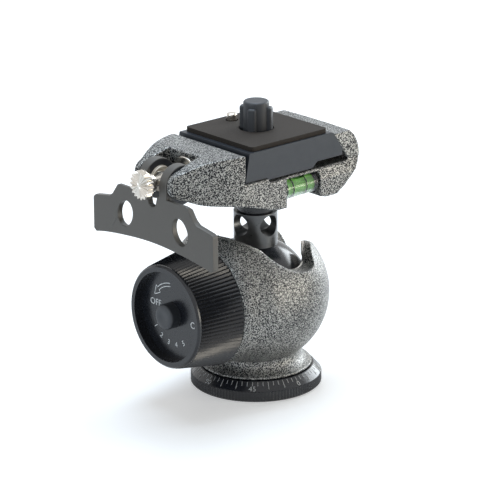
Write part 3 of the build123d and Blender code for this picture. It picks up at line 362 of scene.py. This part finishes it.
def object_from(name, mesh, body, material):
    obj = bpy.data.objects.new(name, mesh)
    bpy.context.scene.collection.objects.link(obj)
    obj.data.materials.clear()
    obj.data.materials.append(material)
    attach(obj, body)
    return obj


def text_points(words, size):
    """Vertices and faces of upright lettering, centred, size in mm, in the XY plane."""
    curve = bpy.data.curves.new("words", "FONT")
    curve.body = words
    curve.size = size
    curve.extrude = PRINT_HALF
    curve.align_x = "CENTER"
    curve.align_y = "CENTER"
    curve.resolution_u = 3
    holder = bpy.data.objects.new("words", curve)
    bpy.context.scene.collection.objects.link(holder)
    bpy.context.view_layer.update()
    mesh = bpy.data.meshes.new_from_object(holder)
    points = [v.co.copy() for v in mesh.vertices]
    faces = [tuple(p.vertices) for p in mesh.polygons]
    bpy.data.objects.remove(holder)
    bpy.data.meshes.remove(mesh)
    return points, faces


def slab(corners):
    """A flat print with four corners, as thick as the prints are."""
    points = [corner + Vector((0, 0, z)) for z in (-PRINT_HALF, PRINT_HALF) for corner in corners]
    faces = [(0, 3, 2, 1), (4, 5, 6, 7), (0, 1, 5, 4), (1, 2, 6, 5), (2, 3, 7, 6), (3, 0, 4, 7)]
    return points, faces


def gather(parts, place):
    """One mesh from (points, faces, extra) parts, each point put in space by place."""
    verts, faces = [], []
    for points, part_faces, extra in parts:
        start = len(verts)
        verts += [tuple(c * MM for c in place(p, extra)) for p in points]
        faces += [tuple(i + start for i in face) for face in part_faces]
    mesh = bpy.data.meshes.new("gathered")
    mesh.from_pydata(verts, [], faces)
    mesh.update()
    return mesh


# Pan scale on the cone of the base: x runs round it, y up the slope, z out of it.
CONE_LOW_R, CONE_LOW_Z = 28.25, 4.8
CONE_TOP_R, CONE_TOP_Z = 24.8, 8.3
SLOPE = math.hypot(CONE_LOW_R - CONE_TOP_R, CONE_TOP_Z - CONE_LOW_Z)
CONE_MEAN_R = 26.5      # radius at which widths round the cone are true
FRONT = -90             # the scale's zero, in degrees round the base

TICK_STEP = 5           # degrees
TICK_HALF_WIDTH = 0.12
TICK_SHORT, TICK_LONG = 1.9, 3.6
TICK_INSET = 0.25       # ticks end this far below the top of the cone
NUMBER_STEP = 45        # degrees
NUMBER_SIZE = 3.2
NUMBER_RISE = 1.35      # middle of a number above the foot of the cone


def on_cone(point, angle):
    up = point.y / SLOPE
    radius = CONE_LOW_R + (CONE_TOP_R - CONE_LOW_R) * up
    height = CONE_LOW_Z + (CONE_TOP_Z - CONE_LOW_Z) * up
    out = point.z * math.sqrt(0.5)
    turn = angle + point.x / CONE_MEAN_R
    return (
        (radius + out) * math.cos(turn),
        (radius + out) * math.sin(turn),
        height + out,
    )


def tick(length):
    low, high = SLOPE - TICK_INSET - length, SLOPE - TICK_INSET
    w = TICK_HALF_WIDTH
    return slab([Vector((-w, low, 0)), Vector((w, low, 0)), Vector((w, high, 0)), Vector((-w, high, 0))])


scale_parts = []
for step in range(360 // TICK_STEP):
    # Every third tick is long, except where a number stands.
    long_tick = step % 3 == 0 and step % 9 != 0
    turn = math.radians(step * TICK_STEP + FRONT)
    scale_parts.append((*tick(TICK_LONG if long_tick else TICK_SHORT), turn))
for step in range(360 // NUMBER_STEP):
    degrees = step * NUMBER_STEP
    points, faces = text_points(str(degrees), NUMBER_SIZE)
    points = [p + Vector((0, NUMBER_RISE, 0)) for p in points]
    scale_parts.append((points, faces, math.radians(FRONT - degrees)))
object_from("base_scale_marks", gather(scale_parts, on_cone), "base", MARK)


# Prints on the dish of the ball-lock knob: x to the viewer's right, y up, facing -X.
DISH_X = -46.9
WORD_SIZE = 4.1
OFF_PLACE = (-10.6, 3.0)
ON_PLACE = (14.9, -1.4)
DIGIT_SIZE = 3.2
DIGIT_RADIUS = 13.0
DIGIT_START, DIGIT_STEP = -145, 22      # degrees
STROKE_HALF = 0.16
ARROW_OUTER, ARROW_INNER = 13.7, 12.3   # the two strokes of the arrow's shaft
ARROW_START, ARROW_END = 95, 133        # degrees, where the shaft starts and the head begins
TIP_ANGLE, TIP_RADIUS = 150, 13.0
HEAD_OUTER, HEAD_INNER = 14.9, 11.1


def on_dish(point, _):
    return (DISH_X - point.z, -point.x, BALL_Z + point.y)


def polar(radius, degrees):
    angle = math.radians(degrees)
    return Vector((radius * math.cos(angle), radius * math.sin(angle), 0))


def arc_strip(radius, start, end, steps=14):
    """A printed arc, one stroke wide."""
    points, faces = [], []
    for i in range(steps + 1):
        degrees = start + (end - start) * i / steps
        for r in (radius - STROKE_HALF, radius + STROKE_HALF):
            for z in (-PRINT_HALF, PRINT_HALF):
                points.append(polar(r, degrees) + Vector((0, 0, z)))
    for i in range(steps):
        k = 4 * i
        for a, b in ((0, 1), (1, 3), (3, 2), (2, 0)):
            faces.append((k + a, k + b, k + 4 + b, k + 4 + a))
    faces += [(0, 2, 3, 1), (4 * steps, 4 * steps + 1, 4 * steps + 3, 4 * steps + 2)]
    return points, faces


def stroke(a, b):
    """A printed straight line from a to b, one stroke wide."""
    along = (b - a).normalized()
    side = Vector((-along.y, along.x, 0)) * STROKE_HALF
    return slab([a - side, b - side, b + side, a + side])


def moved(part, x, y, turn=0.0):
    points, faces = part
    spin = Matrix.Rotation(turn, 3, "Z")
    return [spin @ p + Vector((x, y, 0)) for p in points], faces, None


print_parts = [
    moved(text_points("OFF", WORD_SIZE), *OFF_PLACE),
    moved(text_points("ON", WORD_SIZE), *ON_PLACE),
    (*arc_strip(ARROW_OUTER, ARROW_START, ARROW_END), None),
    (*arc_strip(ARROW_INNER, ARROW_START, ARROW_END), None),
]
for number in range(1, 6):
    degrees = DIGIT_START + (number - 1) * DIGIT_STEP
    spot = polar(DIGIT_RADIUS, degrees)
    digit = text_points(str(number), DIGIT_SIZE)
    print_parts.append(moved(digit, spot.x, spot.y, math.radians(degrees) + math.pi / 2))
# The arrow's head runs from the shaft's outer stroke round the tip to its inner one, open between them.
arrow_head = [
    polar(ARROW_OUTER, ARROW_END),
    polar(HEAD_OUTER, ARROW_END),
    polar(TIP_RADIUS, TIP_ANGLE),
    polar(HEAD_INNER, ARROW_END),
    polar(ARROW_INNER, ARROW_END),
]
for a, b in zip(arrow_head, arrow_head[1:]):
    print_parts.append((*stroke(a, b), None))
object_from("knob_prints", gather(print_parts, on_dish), "ball_lock", PRINT)


# Star-head adjuster: V grooves run out on its face and back along its side.
STAR_RAYS = 18
STEPS_PER_RAY = 12
# Profile from the inner end to the face: X, radius, groove depth on the side, groove depth on the face.
STAR_PROFILE = [
    (-40.6, 0.0, 0, 0), (-40.6, 1.5, 0, 0), (-41.0, 2.1, 0, 0), (-41.6, 2.3, 0, 0),
    (-56.6, 2.3, 0, 0), (-56.6, 3.0, 0, 0), (-57.3, 3.1, 0, 0), (-57.5, 4.0, 0, 0),
    (-59.8, 4.6, 0.1, 0), (-60.3, 5.2, 0.2, 0), (-60.7, 6.0, 0.5, 0), (-61.1, 6.4, 0.9, 0),
    (-62.6, 6.35, 1.0, 0), (-63.5, 6.2, 1.0, 0), (-64.0, 5.9, 0.95, 0.35), (-64.2, 5.4, 0.8, 0.75),
    (-64.2, 4.2, 0.4, 0.62), (-64.2, 3.0, 0.2, 0.45), (-64.2, 1.8, 0.1, 0.25), (-64.2, 0.8, 0, 0.08),
    (-64.2, 0, 0, 0),
]


def lathe_star(name):
    """The profile turned round the adjuster's axis, its ends closed to a point."""
    bm = bmesh.new()
    around = STAR_RAYS * STEPS_PER_RAY
    rings = []
    for x, radius, side_dip, face_dip in STAR_PROFILE:
        if radius == 0:
            rings.append([bm.verts.new(Vector((x, 0, PIVOT_Z)) * MM)])
            continue
        ring = []
        for i in range(around):
            angle = 2 * math.pi * i / around
            phase = (STAR_RAYS * angle / (2 * math.pi)) % 1.0
            groove = 1 - abs(2 * phase - 1)
            r = radius - side_dip * groove
            point = (x + face_dip * groove, r * math.cos(angle), PIVOT_Z + r * math.sin(angle))
            ring.append(bm.verts.new(Vector(point) * MM))
        rings.append(ring)
    for a, b in zip(rings, rings[1:]):
        for i in range(around):
            j = (i + 1) % around
            if len(a) == 1:
                bm.faces.new((a[0], b[i], b[j]))
            elif len(b) == 1:
                bm.faces.new((a[i], b[0], a[j]))
            else:
                bm.faces.new((a[i], b[i], b[j], a[j]))
    bmesh.ops.recalc_face_normals(bm, faces=bm.faces[:])
    mesh = bpy.data.meshes.new(name)
    bm.to_mesh(mesh)
    bm.free()
    return mesh


star_head = object_from("adjuster_star", lathe_star("adjuster_star"), "adjuster", NICKEL)
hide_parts("adjuster_screw")


# Black index rings and a bubble rim on the spirit level.
VIAL_RING_RADIUS = 4.38
VIAL_RING_THICK = 0.06
VIAL_RINGS = ((0.9, 0.3), (8.2, 0.3), (12.9, 0.35), (14.1, 0.45))   # X and half width


def ring_mesh(x, half_width, around=48):
    inner, outer = VIAL_RING_RADIUS, VIAL_RING_RADIUS + VIAL_RING_THICK
    section = ((-half_width, inner), (half_width, inner), (half_width, outer), (-half_width, outer))
    points, faces = [], []
    for i in range(around):
        angle = 2 * math.pi * i / around
        for dx, r in section:
            points.append(Vector((x + dx, r * math.cos(angle), r * math.sin(angle))))
    for i in range(around):
        j = (i + 1) % around
        for k in range(4):
            m = (k + 1) % 4
            faces.append((4 * i + k, 4 * i + m, 4 * j + m, 4 * j + k))
    return points, faces


def on_vial(point, _):
    return (point.x, point.y + VIAL_Y, point.z + VIAL_Z)


vial_parts = [(*ring_mesh(x, half_width), None) for x, half_width in VIAL_RINGS]
object_from("vial_rings", gather(vial_parts, on_vial), "platform", BLACK)


# ---------------------------------------------------------------- stage, light, camera

def seen_directly(tree):
    """One for rays from the camera and for mirrored and refracted ones, zero for other rays."""
    path = add(tree, "ShaderNodeLightPath")
    seen = math_node(tree, "MAXIMUM", path.outputs["Is Camera Ray"], path.outputs["Is Glossy Ray"])
    return math_node(tree, "MAXIMUM", seen, path.outputs["Is Transmission Ray"])


FLOOR_HALF = 6.0        # metres
FLOOR_DROP = 0.0002     # metres below the base
FLOOR_LIFT = 0.42       # own light of the floor, where it is seen directly
SEEN_LEVEL = 1.0        # the surroundings as they are seen
AMBIENT_LEVEL = 0.16    # the surroundings as they light the part

floor_mesh = bpy.data.meshes.new("floor")
bm = bmesh.new()
bmesh.ops.create_grid(bm, x_segments=1, y_segments=1, size=FLOOR_HALF)
bm.to_mesh(floor_mesh)
bm.free()
floor = bpy.data.objects.new("floor", floor_mesh)
bpy.context.scene.collection.objects.link(floor)
floor.location = (0, 0, -FLOOR_DROP)
mat, tree, bsdf = new_material("floor_white")
bsdf.inputs["Base Color"].default_value = (0.80, 0.80, 0.79, 1)
bsdf.inputs["Roughness"].default_value = 0.45
bsdf.inputs["Specular IOR Level"].default_value = 0.25
lift = math_node(tree, "MULTIPLY", seen_directly(tree), FLOOR_LIFT)
link(tree, lift, bsdf.inputs["Emission Strength"])
bsdf.inputs["Emission Color"].default_value = (1, 1, 1, 1)
floor_mesh.materials.append(mat)

world = bpy.data.worlds.new("studio")
bpy.context.scene.world = world
world.use_nodes = True
tree = world.node_tree
back = tree.nodes["Background"]
level = math_node(tree, "MULTIPLY_ADD", seen_directly(tree), SEEN_LEVEL - AMBIENT_LEVEL, AMBIENT_LEVEL)
link(tree, level, back.inputs["Strength"])
back.inputs["Color"].default_value = (1.0, 1.0, 1.0, 1)


def area(name, place, target, size, power, colour):
    """A square lamp: place, target and size in metres, power in watts."""
    light = bpy.data.lights.new(name, "AREA")
    light.shape = "SQUARE"
    light.size = size
    light.energy = power
    light.color = colour
    lamp = bpy.data.objects.new(name, light)
    bpy.context.scene.collection.objects.link(lamp)
    lamp.location = place
    lamp.rotation_mode = "QUATERNION"
    lamp.rotation_quaternion = (Vector(target) - Vector(place)).to_track_quat("-Z", "Y")
    return lamp


area("key_top", (0.12, 0.22, 1.1), (0, 0, 0.09), 0.5, 9.5, (0.72, 0.85, 1.0))
area("rim_right", (1.0, 0.05, 0.35), (0, 0, 0.05), 0.6, 8.5, (0.90, 0.96, 1.0))
area("low_right", (0.55, -0.85, 0.10), (0, 0, 0.03), 0.45, 3.9, (1.0, 0.93, 0.80))
area("fill_left", (-1.0, 0.0, 0.35), (0, 0, 0.05), 0.5, 2.1, (0.74, 0.87, 1.0))

bpy.context.scene.view_settings.view_transform = "Standard"

PICTURE_SIDE = 500      # pixels
FOCAL_PIXELS = 3288.15
SENSOR_WIDTH = 36.0
CAMERA_PLACE = (-883.32144, -994.11306, 505.85785)
CAMERA_AZIMUTH = -131.51955  # degrees, the side on which the camera stands
CAMERA_ELEVATION = 18.576237
CAMERA_ROLL = -0.22763

camera_data = bpy.data.cameras.new("camera")
camera_data.sensor_width = SENSOR_WIDTH
camera_data.lens = FOCAL_PIXELS / PICTURE_SIDE * SENSOR_WIDTH
camera_data.clip_start = 0.05
camera_data.clip_end = 30
camera = bpy.data.objects.new("camera", camera_data)
bpy.context.scene.collection.objects.link(camera)
azimuth = math.radians(CAMERA_AZIMUTH)
elevation = math.radians(CAMERA_ELEVATION)
roll = math.radians(CAMERA_ROLL)
level_right = Vector((-math.sin(azimuth), math.cos(azimuth), 0))
flat = math.cos(elevation)
backward = Vector((flat * math.cos(azimuth), flat * math.sin(azimuth), math.sin(elevation)))
right = level_right * math.cos(roll) + backward.cross(level_right) * math.sin(roll)
up = backward.cross(right)
pose = Matrix((right, up, backward)).transposed().to_4x4()
pose.translation = Vector(CAMERA_PLACE) * MM
camera.matrix_world = pose
bpy.context.scene.camera = camera
